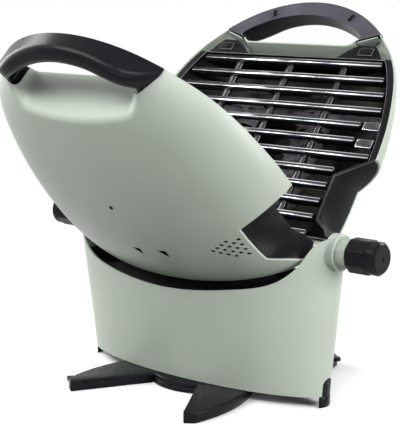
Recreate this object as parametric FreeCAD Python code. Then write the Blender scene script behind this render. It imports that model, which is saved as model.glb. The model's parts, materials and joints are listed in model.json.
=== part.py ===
"""Clamshell countertop grill: two domed halves that hinge on one axis above a lens-shaped base.

Row frame: millimetres, +Z up, X along the hinge axis, front half towards -Y,
origin on the floor under the middle of the hinge axis.
"""
import FreeCAD, Part
import math
import os

os.makedirs("parts", exist_ok=True)
Vec = FreeCAD.Vector

# Overall layout
AXIS_Z = 180.6             # hinge axis above the floor
FRONT_OPEN = 44.5          # pose of the front half, degrees from closed
REAR_OPEN = 39.8           # pose of the rear half, degrees from closed
PARTING_GAP = 0.6          # each half stops this far from the parting plane
FIT = 0.05                 # radial clearance of a running fit
GAP = 0.4                  # clearance between pieces that only pass each other
SHEET = 1.5                # pressed steel of the inner pieces

# Half shell: stations up the dome as distance from the axis,
# then how far the outline lies inside the greatest width and the greatest depth there
DOME_HALF_WIDTH = 186.0
DOME_DEPTH = 87.2
STATIONS = [(8, 9.5, 12.2), (50, 2.5, 2.2), (87, 0, 0), (125, 0, 2.7), (170, 4.5, 9.7),
            (213, 15, 19.2), (250, 30, 30.2), (280, 52, 41.2), (303, 75, 51.2)]
DOME_TOP = STATIONS[-1][0]
SHELL_WALL = 2.0
SHELL_EDGE = 16.0          # lower edge of the shell above the axis

# Side recess: corners in the parting plane as x beyond the inner wall, and distance from the axis
RECESS_INNER = DOME_HALF_WIDTH - 46.0
RECESS_LOW = (3.0, 38.0)
RECESS_HIGH = (0.0, 95.0)
RECESS_OUT = (46.0, 122.0)
RECESS_LIP = [(17.0, 27.0), (30.0, 8.0)]
RECESS_SLANT = 0.22        # rise of the recess per mm of depth
RECESS_WALL = 2.5

# Air vents of the shell
VENT_RUNS = [(0, 4), (1, 3), (0, 4), (1, 3), (2, 2), (3, 1)]  # first place and count in each column, inwards
VENT_ACROSS = 6.7
VENT_DOWN = 4.4
VENT_DRIFT = 0.4           # rise from column to column
VENT_SIZE = (1.8, 1.6, 0.5)  # half width, half height and skew of one slot
VENT_CORNER = (-6.0, 95.0)   # first slot: x beyond the recess, distance from the axis
LOUVRES = (-2.0, 35.0)
LOUVRE_SIZE = (6.0, 12.0)
LOUVRE_TOP = 86.0
PEEP_SLOT = 152.0
PEEP_RADIUS = 2.0

# Finger pocket and handle, in the parting plane
HOLE_HALF = 86.0
HOLE_BOTTOM = 279.5
HOLE_ROUND = 14.0
HOLE_SLANT = -0.26         # drop of the finger pocket per mm of depth
POCKET_ROUND = 9.0         # rounding of the pocket's rim
HANDLE_RISE = 41.0         # top of the handle beyond the last station
HANDLE_TOP = DOME_TOP + HANDLE_RISE
HANDLE_ARC = 171.6
HANDLE_CENTRE = HANDLE_TOP - HANDLE_ARC
HANDLE_BAR = 20.0
HANDLE_ANGLES = (34.5, 27.0, 18.0, 9.0)  # sections of the bar, degrees from its middle
HANDLE_EDGES = (10.0, 7.0)   # rounding of the outer and the inner edge
HANDLE_LEAN = (56.0, 0.3167) # depth at HANDLE_LEAN_FROM, and its loss per mm above
HANDLE_LEAN_FROM = 240.0
SEAM_ANGLE = 43.4          # where the seam meets the handle's arc
SEAM_INNER = (HOLE_HALF - 2.0, HOLE_BOTTOM + 5.5)
SEAM_OUTER = (HANDLE_ARC * math.sin(math.radians(SEAM_ANGLE)),
              HANDLE_CENTRE + HANDLE_ARC * math.cos(math.radians(SEAM_ANGLE)))
HANDLE_OVAL = (SEAM_OUTER[0] + 2.8, 46.0)  # oval that rounds the handle seen from above

# Leg bars
LEG_HEIGHT = 13.2
LEG_SETBACK = 6.0          # tip of a folded leg inside the column's end
HUB_RADIUS = 67.5
LEG_ANGLE = 59.6           # straight edge of a leg from the X axis
LEG_EDGE = 0.6             # straight edge beside the line through the hub
LEG_TIP_WIDTH = 13.8
LEG_TIP_SLOPE = 1.5
LEG_BULGE = (112.0, 50.5)  # a point of the curved edge, along and across the leg
LEG_ROOT = (76.0, 57.0)    # inner end of the curved edge: radius, and angle from the straight edge
LEG_TAB = 9.0              # finger tab at the tips of the upper bar
LEG_HOLES = (127.0, 153.0)
LEG_HOLE_RADIUS = 1.2
HUB_BOLT_RADIUS = 8.0
HUB_HEAD_RADIUS = 14.0
HUB_HEAD_HEIGHT = 3.0
HUB_NUT = (12.0, 7.0)      # radius and height of the nut inside the column

# Base column
BASE_BOTTOM = LEG_HEIGHT + GAP
BASE_HALF_LENGTH = DOME_HALF_WIDTH - 9.5  # at the bottom edge
BASE_HALF_WIDTH = DOME_DEPTH - 33.2
BASE_LEAN_X = 0.0715       # growth of the half length per mm of height
BASE_LEAN_Y = 0.227        # growth of the half width per mm of height
BASE_WALL = 2.5
BASE_END = BASE_HALF_LENGTH + BASE_LEAN_X * (AXIS_Z - BASE_BOTTOM)
RIM_LOW = -53.0            # middle of the scooped rim, above the axis
RIM = [(88.4, -43.0), (45.4, -30.6), (21.4, -7.6), (7.4, 14.0), (-7.6, 20.0)]  # back from the end, rise
BOSS_RADIUS = 21.0
BOSS_DEPTH = 8.0
BOSS_PROUD = 0.3           # boss face beyond the leaning wall at the boss's top
BOSS_FACE = BASE_END + BASE_LEAN_X * BOSS_RADIUS + BOSS_PROUD
ARCH_HALF_WIDTH = 8.0
ARCH_TOP = 34.0
TROUGH_RADIUS = DOME_DEPTH + 5.8
TROUGH_LENGTH = DOME_HALF_WIDTH - 4.0  # half length of the ellipsoid that the trough follows
TROUGH_END = RECESS_INNER + 4.5
TROUGH_LEG = (60.0, 22.0)
TROUGH_LEG_SIZE = (12.0, 10.0)
PLATE_THICKNESS = 2.0
PLATE_TOP = BASE_BOTTOM + GAP + PLATE_THICKNESS
LEG_REACH = BASE_HALF_LENGTH - LEG_SETBACK
FOOT_START = LEG_REACH + 2.0
TAB_INSET = 0.8            # arch tab behind the column's outer face
TAB_OVERLAP = 3.0          # arch tab into the foot below it
LUG_X = 95.0
LUG_INSET = 7.5            # lug screw inside the column's outline
LUG_Y = BASE_HALF_WIDTH * math.sqrt(1 - (LUG_X / BASE_HALF_LENGTH) ** 2) - LUG_INSET
LUG_SIZE = (14.0, 10.0)
BASE_SCREW = (1.8, 3.5, 1.2)  # shank radius, head radius, head height
BASE_SCREW_LENGTH = 11.0

# Hinge, valve and knob, along the axis
TRUNNION_RADIUS = 9.6
TRUNNION_BORE = 7.0
RING_RADIUS = TRUNNION_RADIUS + 3.6
BRACKET_WIDTH = 7.6
BRACKET_OUTER = RECESS_INNER - BRACKET_WIDTH
BRACKET_INNER = BRACKET_OUTER - BRACKET_WIDTH - 2 * GAP
BRACKET_REACH = 42.0
BRACKET_DROP = 5.0
BRACKET_SCREWS = (22.0, 35.0)
SCREW_RADIUS = 1.6
SCREW_HEAD = (3.2, 2.4)
SCREW_LENGTH = 15.5
TRUNNION_INNER = BRACKET_INNER - 4.0
SNAP_GROOVE = (1.2, 1.4, 1.0)  # place, width and depth of the groove for the snap ring
SNAP_RING = (2.0, 1.2)         # height over the trunnion, and thickness
COLLAR_FLANGE = 4.0
COLLAR_CHAMFER = 1.0
COLLAR_BORE = 11.0
COLLAR_FLOOR = 3.0
NECK_RADIUS = 16.0
NECK_END = BOSS_FACE + 15.0
SPINDLE_RADIUS = 4.0
VALVE_INNER = TRUNNION_INNER + 6.0
VALVE_LENGTH = 46.0
VALVE_OUTER = VALVE_INNER + VALVE_LENGTH
VALVE_SOCKET = 14.0        # bore of the valve that takes the spindle
NOZZLE = (3.2, 10.0)
FEED_STUB = (4.2, 22.0)    # radius and length of the valve's feed
STUB_DROP = 26.0
RISER_X = RECESS_INNER + 10.0
KNOB_PUSH = 2.4
SEAT_RADIUS = NECK_RADIUS - 0.6
SEAT_START = NECK_END + GAP
SEAT_END = SEAT_START + 5.6
KNOB_START = NECK_END + KNOB_PUSH + 0.5
KNOB_SKIRT_FLOOR = SEAT_END + KNOB_PUSH + GAP
KNOB_GRIP = 24.1
KNOB_CAP = 13.0
KNOB_SHOULDER = KNOB_START + KNOB_GRIP
KNOB_END = KNOB_SHOULDER + KNOB_CAP
KNOB_WEB = KNOB_SHOULDER - 7.0
KNOB_FLAT_RADIUS = 18.7
KNOB_BORE = 9.2
KNOB_CHAMFER = 3.0
KNOB_CORNER = 4.0
KNOB_DIMPLE = (3.0, 0.8)
SOCKET_DEPTH = 15.0
SPRING_INNER = 5.2
SPRING_OUTER = 8.2
SPRING_SHEET = 0.6
SPRING_CUPS = 5

# Gas rail inside the column
RAIL_RADIUS = 4.0
INLET_Z = 42.0
INLET_RADIUS = 6.0
INLET_BORE = 3.5
INLET_OUT = 13.6
INLET_WALL = BASE_HALF_WIDTH + BASE_LEAN_Y * (INLET_Z - BASE_BOTTOM)
INLET_NUT = (4.0, 7.0)     # height over the nipple, and length
INLET_LENGTH = 34.0

# Inner pan, grate, burner and heat tents
PAN_INSET = 5.0
PAN_LOW = RING_RADIUS + 2 * GAP
PAN_HIGH = HOLE_BOTTOM - 17.5
FLANGE_TOP = 2.4
FLANGE_INSET = 12.0
EAR = [(66.0, 0.0), (80.0, 12.5), (92.0, 20.5), (116.0, 21.5), (124.0, 13.5), (134.0, 0.0)]  # x, beyond the pan
EAR_PAD = (97.0, 117.0, 3.5, 14.0)
EAR_PAD_TOP = 0.9
GRATE_BARS = 12
GRATE_TOP = 3.2
GRATE_HEIGHT = 11.0
BAR_TOP = 5.0
BAR_FOOT = 8.0
BAR_BEVEL = 3.5
BAR_MARGIN = 14.5
BAR_ROOM = 1.3             # first and last bar from the pan's end walls
GRATE_FIRST = PAN_LOW + SHEET + BAR_FOOT / 2 + BAR_ROOM
GRATE_LAST = PAN_HIGH - SHEET - BAR_FOOT / 2 - BAR_ROOM
RIB_SPACING = 80.0
RIB_WIDTH = 8.0
RIB_HEIGHT = 5.5
CLIPS = (139.0, 163.0)     # distances of the two side clips from the axis
CLIP_WIDTH = 11.0
CLIP_TOP = 4.2
CLIP_INNER = DOME_HALF_WIDTH - 40.0
CLIP_REACH = 22.0
CLIP_SHEET = 1.8
BURNER_DEPTH = 45.0
BURNER_RADIUS = 7.0
BURNER_HALF = 55.0
BURNER_LOW = 50.0
BURNER_HIGH = 190.0
FEED_MOUTH = VALVE_INNER - NOZZLE[1] - 4.0
FEED_X = FEED_MOUTH - 42.0
FEED_RADIUS = 6.0
FEED_BORE = 4.2
FEED_BEND = (4.0, 26.0)    # distance and depth where the feed turns into the pan
TENT_DEPTH = 27.0
TENT_HALF = 24.0
TENT_FALL = 9.0
TENT_LOW = 58.0
TENT_LENGTH = 150.0
TENT_SLOT = (5.0, 19.0, 4.0)  # inner and outer end of a slot from the ridge, and its height
TENT_SLOTS = 6
STRAP_WIDTH = 10.0
STRAP_DROP = 6.0
STRAPS = (12.0, 132.0)     # places of the straps along the tents
FAR = 150.0                # reach of cutting tools beyond the object


# Small shape helpers

def cylinder_x(radius, start, end, y=0.0, z=AXIS_Z):
    """Round bar along X from start to end."""
    low, high = min(start, end), max(start, end)
    return Part.makeCylinder(radius, high - low, Vec(low, y, z), Vec(1, 0, 0))


def tube_x(outer, inner, start, end):
    """Ring or tube on the hinge axis."""
    return cylinder_x(outer, start, end).cut(cylinder_x(inner, start - 1, end + 1))


def cylinder_z(radius, low, high, x=0.0, y=0.0):
    """Upright round bar."""
    return Part.makeCylinder(radius, high - low, Vec(x, y, low))


def block(x0, x1, y0, y1, z0, z1):
    """Box between opposite corners."""
    return Part.makeBox(x1 - x0, y1 - y0, z1 - z0, Vec(x0, y0, z0))


def rod(start, end, radius):
    """Round bar between two points."""
    along = end.sub(start)
    return Part.makeCylinder(radius, along.Length, start, along)


def joined(shapes):
    """Fuse several shapes and drop the seams between them."""
    first = shapes[0]
    return first.fuse(shapes[1:]).removeSplitter() if len(shapes) > 1 else first


def mirrored_x(shape):
    """The same shape on the other side of the X = 0 plane."""
    return shape.mirror(Vec(0, 0, 0), Vec(1, 0, 0))


def polygon_face(points):
    """Flat face through points in order."""
    return Part.Face(Part.makePolygon(points + [points[0]]))


def rounded_wire(corners, radii):
    """Closed outline through corners, each rounded by its own radius."""
    turns = []
    for i, corner in enumerate(corners):
        back = (corners[i - 1] - corner).normalize()
        ahead = (corners[(i + 1) % len(corners)] - corner).normalize()
        half_angle = math.acos(back.dot(ahead)) / 2
        run = radii[i] / math.tan(half_angle)
        rise = radii[i] / math.sin(half_angle) - radii[i]
        turns.append((corner + back * run, corner + (back + ahead).normalize() * rise, corner + ahead * run))
    edges = []
    for i, (first, middle, last) in enumerate(turns):
        if radii[i] > 0:
            edges.append(Part.Arc(first, middle, last).toShape())
        edges.append(Part.makeLine(last, turns[(i + 1) % len(turns)][0]))
    return Part.Wire(edges)


# Base column

def base_section(z, inset):
    """Outline of the column at height z, moved in by inset."""
    rise = z - BASE_BOTTOM
    length = BASE_HALF_LENGTH + BASE_LEAN_X * rise - inset
    width = BASE_HALF_WIDTH + BASE_LEAN_Y * rise - inset
    return Part.Wire(Part.Ellipse(Vec(0, 0, z), length, width).toShape())


def base_column(inset, low, high):
    """Solid column between two heights."""
    return Part.makeLoft([base_section(low, inset), base_section(high, inset)], True, True)


def above_rim(lower):
    """Everything above the scooped rim, moved down by lower."""
    right = [(BASE_END - back, rise) for back, rise in RIM]
    left = [(-x, rise) for x, rise in reversed(right)]
    points = [Vec(x, -FAR, AXIS_Z + rise - lower) for x, rise in left + [(0.0, RIM_LOW)] + right]
    curve = Part.BSplineCurve()
    curve.interpolate(points)
    top = AXIS_Z + FAR
    sides = Part.makePolygon([points[-1], Vec(points[-1].x, -FAR, top), Vec(points[0].x, -FAR, top), points[0]])
    face = Part.Face(Part.Wire([curve.toShape()] + sides.Edges))
    return face.extrude(Vec(0, 2 * FAR, 0))


def arch_prism(spare):
    """Arch at both ends of the column, grown by spare."""
    half = ARCH_HALF_WIDTH + spare
    spring_line = ARCH_TOP - ARCH_HALF_WIDTH
    shapes = []
    for side in (-1, 1):
        start, end = sorted((side * (BASE_HALF_LENGTH - 26), side * (BASE_HALF_LENGTH + 26)))
        shapes.append(block(start, end, -half, half, 0, spring_line))
        shapes.append(cylinder_x(half, start, end, 0, spring_line))
    return joined(shapes)


def lug_places():
    """Screw positions of the bottom plate."""
    return [(sx * LUG_X, sy * LUG_Y) for sx in (-1, 1) for sy in (-1, 1)]


def base_shell():
    """Green column with its scooped rim, end bosses and screw lugs."""
    top = AXIS_Z + RIM[-1][1] + 1
    outer = base_column(0, BASE_BOTTOM, top)
    inner = base_column(BASE_WALL, BASE_BOTTOM - 1, top + 1)
    wall = outer.cut(inner).cut(above_rim(0)).cut(arch_prism(0))
    mid_wall = base_column(BASE_WALL / 2, BASE_BOTTOM, top)
    bosses = [cylinder_x(BOSS_RADIUS, side * (BOSS_FACE - BOSS_DEPTH), side * BOSS_FACE) for side in (-1, 1)]
    lugs = []
    half_lug = LUG_SIZE[0] / 2
    for x, y in lug_places():
        near, far = sorted((y - math.copysign(LUG_SIZE[1] / 2, y), y + math.copysign(25, y)))
        lug = block(x - half_lug, x + half_lug, near, far, PLATE_TOP, PLATE_TOP + LUG_SIZE[1])
        lugs.append(lug.common(mid_wall))
    body = joined([wall] + bosses + lugs)
    for side in (-1, 1):
        body = body.cut(cylinder_x(TRUNNION_RADIUS + FIT, side * RISER_X, side * (BOSS_FACE + 1)))
    for x, y in lug_places():
        body = body.cut(cylinder_z(BASE_SCREW[0] + FIT, PLATE_TOP - 1, PLATE_TOP + LUG_SIZE[1] + 1, x, y))
    return body.cut(rod(Vec(0, INLET_WALL - 20, INLET_Z), Vec(0, INLET_WALL + 20, INLET_Z), INLET_RADIUS + FIT))


def ellipsoid(length, radius):
    """Solid of revolution about the hinge axis."""
    arc = Part.Arc(Part.Ellipse(Vec(0, 0, 0), length, radius), 0, math.pi).toShape()
    line = Part.makeLine(Vec(-length, 0, 0), Vec(length, 0, 0))
    solid = Part.Face(Part.Wire([arc, line])).revolve(Vec(0, 0, 0), Vec(1, 0, 0), 360)
    solid.translate(Vec(0, 0, AXIS_Z))
    return solid


def base_trough():
    """Black steel trough inside the column, below the sweep of both halves."""
    outer = ellipsoid(TROUGH_LENGTH + SHEET, TROUGH_RADIUS + SHEET)
    inner = ellipsoid(TROUGH_LENGTH, TROUGH_RADIUS)
    top = AXIS_Z + RIM[1][1]
    room = base_column(BASE_WALL + GAP, BASE_BOTTOM, AXIS_Z).cut(above_rim(GAP))
    room = room.common(block(-TROUGH_END, TROUGH_END, -FAR, FAR, 0, top))
    inside = TROUGH_END - SHEET
    ends = [block(*sorted((side * inside, side * TROUGH_END)), -FAR, FAR, 0, top) for side in (-1, 1)]
    end_plates = [end.common(room).common(outer) for end in ends]
    (leg_x, leg_y), (long, wide) = TROUGH_LEG, TROUGH_LEG_SIZE
    legs = [block(x - long / 2, x + long / 2, y - wide / 2, y + wide / 2, PLATE_TOP, AXIS_Z - 60).cut(inner)
            for x in (-leg_x, leg_x) for y in (-leg_y, leg_y)]
    return joined([outer.cut(inner).common(room)] + end_plates + legs)


def bottom_plate():
    """Black plate that closes the column, with a foot and an arch tab at each end."""
    low = PLATE_TOP - PLATE_THICKNESS
    inset = BASE_WALL + GAP
    plate = base_column(inset, low, PLATE_TOP)
    ends = [block(*sorted((side * FOOT_START, side * FAR * 2)), -FAR, FAR, 0, FAR) for side in (-1, 1)]
    foot_outline = Part.Face(base_section(BASE_BOTTOM, 0))
    foot_outline.translate(Vec(0, 0, -BASE_BOTTOM))
    feet = foot_outline.extrude(Vec(0, 0, BASE_BOTTOM - GAP)).common(joined(ends))
    tab_low = BASE_BOTTOM - GAP - TAB_OVERLAP
    tab_wall = base_column(TAB_INSET, tab_low, ARCH_TOP + 10)
    tab_wall = tab_wall.cut(base_column(inset + SHEET, tab_low - 1, ARCH_TOP + 11))
    sweep = block(-FOOT_START, FOOT_START, -FAR, FAR, 0, BASE_BOTTOM)
    body = joined([plate, feet, tab_wall.common(arch_prism(-GAP)).cut(sweep)])
    body = body.cut(cylinder_z(HUB_BOLT_RADIUS + FIT, 0, PLATE_TOP + 1))
    shank, head, head_height = BASE_SCREW
    for x, y in lug_places():
        body = body.cut(cylinder_z(shank + FIT, 0, PLATE_TOP + 1, x, y))
        body = body.cut(cylinder_z(head + GAP, 0, low + head_height, x, y))
    return body


def base_screws():
    """Sunk screws of the bottom plate, as one group."""
    low = PLATE_TOP - PLATE_THICKNESS
    shank, head, head_height = BASE_SCREW
    screws = []
    for x, y in lug_places():
        top = low + head_height
        shank_bar = cylinder_z(shank, top, low + BASE_SCREW_LENGTH, x, y)
        screws.append(cylinder_z(head, low, top, x, y).fuse(shank_bar))
    return Part.makeCompound(screws)


# Leg bars

def leg_blade():
    """One leg along +X: straight edge near the X axis, curved edge on the +Y side."""
    inner = Vec(0, LEG_EDGE, 0)
    tip = Vec(LEG_REACH, LEG_EDGE, 0)
    tip_outer = Vec(LEG_REACH - LEG_TIP_SLOPE, LEG_TIP_WIDTH, 0)
    reach, angle = LEG_ROOT
    side = Vec(reach * math.cos(math.radians(angle)), reach * math.sin(math.radians(angle)), 0)
    curve = Part.Arc(tip_outer, Vec(LEG_BULGE[0], LEG_BULGE[1], 0), side).toShape()
    edges = [Part.makeLine(inner, tip), Part.makeLine(tip, tip_outer), curve, Part.makeLine(side, inner)]
    return Part.Face(Part.Wire(edges)).extrude(Vec(0, 0, LEG_HEIGHT))


def leg_bar(upper):
    """Hub disc with a leg on each side; the upper bar's disc lies over the lower bar's."""
    middle = LEG_HEIGHT / 2
    low, high = (middle + GAP / 2, LEG_HEIGHT) if upper else (0.0, middle - GAP / 2)
    disc = cylinder_z(HUB_RADIUS, low, high)
    clear = cylinder_z(HUB_RADIUS + GAP, 0, LEG_HEIGHT).cut(cylinder_z(HUB_RADIUS + GAP, low, high))
    blade = leg_blade()
    if upper:
        tab = block(LEG_REACH - 10, LEG_REACH - 1, LEG_TIP_WIDTH - 2, LEG_TIP_WIDTH + LEG_TAB,
                    0.6 * LEG_HEIGHT, LEG_HEIGHT)
        blade = joined([blade, tab])
    blade = blade.cut(clear)
    other = blade.copy()
    other.rotate(Vec(0, 0, 0), Vec(0, 0, 1), 180)
    bar = joined([disc, blade, other])
    for along in LEG_HOLES:
        for side in (-1, 1):
            hole = Vec(side * along, -3, 0.7 * LEG_HEIGHT)
            bar = bar.cut(rod(hole, hole + Vec(0, 6, 0), LEG_HOLE_RADIUS))
    if upper:
        bar = bar.mirror(Vec(0, 0, 0), Vec(0, 1, 0))
    bar.rotate(Vec(0, 0, 0), Vec(0, 0, 1), LEG_ANGLE if upper else -LEG_ANGLE)
    bar = bar.cut(cylinder_z(HUB_BOLT_RADIUS + FIT, -1, LEG_HEIGHT + 1))
    return bar if upper else bar.cut(cylinder_z(HUB_HEAD_RADIUS + GAP, -1, HUB_HEAD_HEIGHT + GAP))


def hub_bolt():
    """Shoulder bolt that both leg bars turn on; its head is the centre rest on the floor."""
    head = cylinder_z(HUB_HEAD_RADIUS, 0, HUB_HEAD_HEIGHT)
    shank = cylinder_z(HUB_BOLT_RADIUS, HUB_HEAD_HEIGHT, PLATE_TOP)
    nut = cylinder_z(HUB_NUT[0], PLATE_TOP, PLATE_TOP + HUB_NUT[1])
    return joined([head, shank, nut])


# Pieces on the hinge axis, built for the right-hand end

def trunnion():
    """Tube through the base end that both halves turn on."""
    tube = tube_x(TRUNNION_RADIUS, TRUNNION_BORE, TRUNNION_INNER, BOSS_FACE)
    start, width, depth = SNAP_GROOVE
    start += TRUNNION_INNER
    groove = tube_x(TRUNNION_RADIUS + 1, TRUNNION_RADIUS - depth, start, start + width)
    return tube.cut(groove).cut(cylinder_z(FEED_STUB[0] + GAP, AXIS_Z - STUB_DROP, AXIS_Z, RISER_X))


def retaining_ring():
    """Snap ring in the trunnion's groove."""
    place_in, width, depth = SNAP_GROOVE
    height, thickness = SNAP_RING
    start = TRUNNION_INNER + place_in + (width - thickness) / 2
    ring = tube_x(TRUNNION_RADIUS + height, TRUNNION_RADIUS - depth + FIT, start, start + thickness)
    return ring.cut(block(start - 1, start + 2, -2, 2, AXIS_Z, AXIS_Z + 2 * TRUNNION_RADIUS))


def collar():
    """Green flange ring and neck between the base end and the knob."""
    flange = cylinder_x(BOSS_RADIUS, BOSS_FACE, BOSS_FACE + COLLAR_FLANGE)
    rims = [e for e in flange.Edges if e.BoundBox.XMin > BOSS_FACE + COLLAR_FLANGE - 0.1]
    flange = flange.makeChamfer(COLLAR_CHAMFER, rims)
    neck = cylinder_x(NECK_RADIUS, BOSS_FACE + COLLAR_FLANGE - 1, NECK_END)
    body = joined([flange, neck]).cut(cylinder_x(COLLAR_BORE, BOSS_FACE - 1, NECK_END - COLLAR_FLOOR))
    return body.cut(cylinder_x(SPINDLE_RADIUS + FIT, BOSS_FACE, NECK_END + 1))


def valve():
    """Brass valve inside the trunnion, with its nozzle and the stub of its feed."""
    body = cylinder_x(TRUNNION_BORE - 2 * FIT, VALVE_INNER, VALVE_OUTER)
    nozzle = cylinder_x(NOZZLE[0], VALVE_INNER - NOZZLE[1], VALVE_INNER)
    stub = cylinder_z(FEED_STUB[0], AXIS_Z - STUB_DROP, AXIS_Z - STUB_DROP + FEED_STUB[1], RISER_X)
    socket = cylinder_x(SPINDLE_RADIUS + FIT, VALVE_OUTER - VALVE_SOCKET, VALVE_OUTER + 1)
    return joined([body, nozzle, stub]).cut(socket)


def spindle():
    """Valve spindle from the valve's socket into the knob."""
    return cylinder_x(SPINDLE_RADIUS, VALVE_OUTER - VALVE_SOCKET + 1, KNOB_WEB + SOCKET_DEPTH - KNOB_PUSH - 1)


def knob_seat():
    """Disc on the spindle that the knob's skirt slides over and its spring stands on."""
    return tube_x(SEAT_RADIUS, SPINDLE_RADIUS + FIT, SEAT_START, SEAT_END)


def knob():
    """Eight-sided push-and-turn knob with a round cap."""
    corner = KNOB_FLAT_RADIUS / math.cos(math.pi / 8)
    angles = [math.pi * (2 * i + 1) / 8 for i in range(8)]
    outline = [Vec(KNOB_START, corner * math.cos(a), AXIS_Z + corner * math.sin(a)) for a in angles]
    grip = Part.Face(rounded_wire(outline, [KNOB_CORNER] * 8)).extrude(Vec(KNOB_GRIP, 0, 0))
    cap = cylinder_x(KNOB_FLAT_RADIUS, KNOB_SHOULDER, KNOB_END)
    cap = cap.makeChamfer(KNOB_CHAMFER, [e for e in cap.Edges if e.BoundBox.XMin > KNOB_END - 0.1])
    body = joined([grip, cap])
    body = body.cut(cylinder_x(SEAT_RADIUS + 2 * GAP, KNOB_START - 1, KNOB_SKIRT_FLOOR))
    body = body.cut(cylinder_x(KNOB_BORE, KNOB_SKIRT_FLOOR - 1, KNOB_WEB))
    body = body.cut(cylinder_x(SPINDLE_RADIUS + FIT, KNOB_WEB - 1, KNOB_WEB + SOCKET_DEPTH))
    return body.cut(cylinder_x(KNOB_DIMPLE[0], KNOB_END - KNOB_DIMPLE[1], KNOB_END + 1))


def knob_spring():
    """Stack of cup springs between the seat and the knob's web."""
    start, end = SEAT_END + FIT, KNOB_WEB - FIT
    pitch = (end - start - SPRING_SHEET) / SPRING_CUPS
    radii = (SPRING_INNER, SPRING_OUTER)
    front = [Vec(start + pitch * i, 0, AXIS_Z + radii[i % 2]) for i in range(SPRING_CUPS + 1)]
    back = [point + Vec(SPRING_SHEET, 0, 0) for point in reversed(front)]
    return polygon_face(front + back).revolve(Vec(0, 0, AXIS_Z), Vec(1, 0, 0), 360)


def gas_rail():
    """Pipe from the inlet to both valves, low inside the column."""
    rail = rod(Vec(-RISER_X, 0, INLET_Z), Vec(RISER_X, 0, INLET_Z), RAIL_RADIUS)
    risers = [rod(Vec(x, 0, INLET_Z), Vec(x, 0, AXIS_Z - STUB_DROP), RAIL_RADIUS) for x in (-RISER_X, RISER_X)]
    elbows = [Part.makeSphere(RAIL_RADIUS, Vec(x, 0, INLET_Z)) for x in (-RISER_X, RISER_X)]
    branch = rod(Vec(0, 0, INLET_Z), Vec(0, INLET_WALL + INLET_OUT - INLET_LENGTH, INLET_Z), RAIL_RADIUS)
    return joined([rail, branch] + risers + elbows)


def gas_inlet():
    """Brass inlet nipple through the rear wall."""
    end = INLET_WALL + INLET_OUT
    nipple = rod(Vec(0, end - INLET_LENGTH, INLET_Z), Vec(0, end, INLET_Z), INLET_RADIUS)
    nut_start = end - INLET_LENGTH + 6
    height, length = INLET_NUT
    nut = rod(Vec(0, nut_start, INLET_Z), Vec(0, nut_start + length, INLET_Z), INLET_RADIUS + height)
    bore = rod(Vec(0, end - INLET_OUT, INLET_Z), Vec(0, end + 1, INLET_Z), INLET_BORE)
    return joined([nipple, nut]).cut(bore)


# One half, built closed as the front half: depth runs towards -Y, distance from the axis towards +Z

def place(x, distance, depth):
    """Point of the half from its own three measures."""
    return Vec(x, -depth, AXIS_Z + distance)


def half_slab(depth0, depth1, low=-50.0, high=400.0, half=250.0):
    """Box between two depths and two distances from the axis."""
    return block(-half, half, -depth1, -depth0, AXIS_Z + low, AXIS_Z + high)


def dome(inset):
    """Solid between the parting plane and the dome moved in by inset."""
    wires = []
    for distance, less_width, less_depth in STATIONS:
        z = AXIS_Z + distance
        width = DOME_HALF_WIDTH - less_width - inset
        depth = DOME_DEPTH - less_depth - inset
        arc = Part.Arc(Part.Ellipse(Vec(0, 0, z), width, depth), math.pi, 2 * math.pi).toShape()
        line = Part.makeLine(Vec(width, 0, z), Vec(-width, 0, z))
        wires.append(Part.Wire([arc, line]))
    return Part.makeLoft(wires, True, False)


def half_width(distance):
    """Half width of the dome's outline at a distance from the axis."""
    for (low, less_low, _), (high, less_high, _) in zip(STATIONS, STATIONS[1:]):
        if distance <= high:
            return DOME_HALF_WIDTH - less_low - (less_high - less_low) * (distance - low) / (high - low)
    return DOME_HALF_WIDTH - STATIONS[-1][1]


def slanted(face, slant, depth=110.0, lead=5.0):
    """Extrude a face of the parting plane outwards, drifting along the half by slant."""
    face = face.copy()
    face.translate(Vec(0, lead, -slant * lead))
    return face.extrude(Vec(0, -(depth + lead), slant * (depth + lead)))


def recess_face(grow):
    """Outline of the right-hand side recess in the parting plane, grown by grow."""
    (x0, v0), (x1, v1), (x2, v2) = RECESS_LOW, RECESS_HIGH, RECESS_OUT
    slope = (v2 - v1) / (x2 - x1)
    far = 100.0
    (lip_x, lip_v), (end_x, end_v) = RECESS_LIP
    corners = [(x0 - grow, v0 - grow), (x1 - grow, v1 + grow), (far, v1 + slope * (far - x1) + 1.2 * grow),
               (far, end_v - 40), (end_x + 14, end_v - 40)]
    points = [place(RECESS_INNER + x, v, 0) for x, v in corners]
    lip = place(RECESS_INNER + lip_x, lip_v - grow, 0)
    curve = Part.Arc(points[-1], place(RECESS_INNER + end_x - grow, end_v - 0.4 * grow, 0), lip).toShape()
    return Part.Face(Part.Wire(Part.makePolygon(points).Edges + [curve, Part.makeLine(lip, points[0])]))


def recesses(grow):
    """Both side recesses as cutting solids."""
    right = slanted(recess_face(grow), RECESS_SLANT)
    return [right, mirrored_x(right)]


def above_seam():
    """Region of the handle: everything beyond the seam."""
    slope = (SEAM_OUTER[1] - SEAM_INNER[1]) / (SEAM_OUTER[0] - SEAM_INNER[0])
    far = 220.0
    far_height = SEAM_INNER[1] + slope * (far - SEAM_INNER[0])
    points = [(-far, far_height), (-SEAM_INNER[0], SEAM_INNER[1]), SEAM_INNER, (far, far_height),
              (far, 500), (-far, 500)]
    return slanted(polygon_face([place(x, v, 0) for x, v in points]), 0.0)


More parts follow.
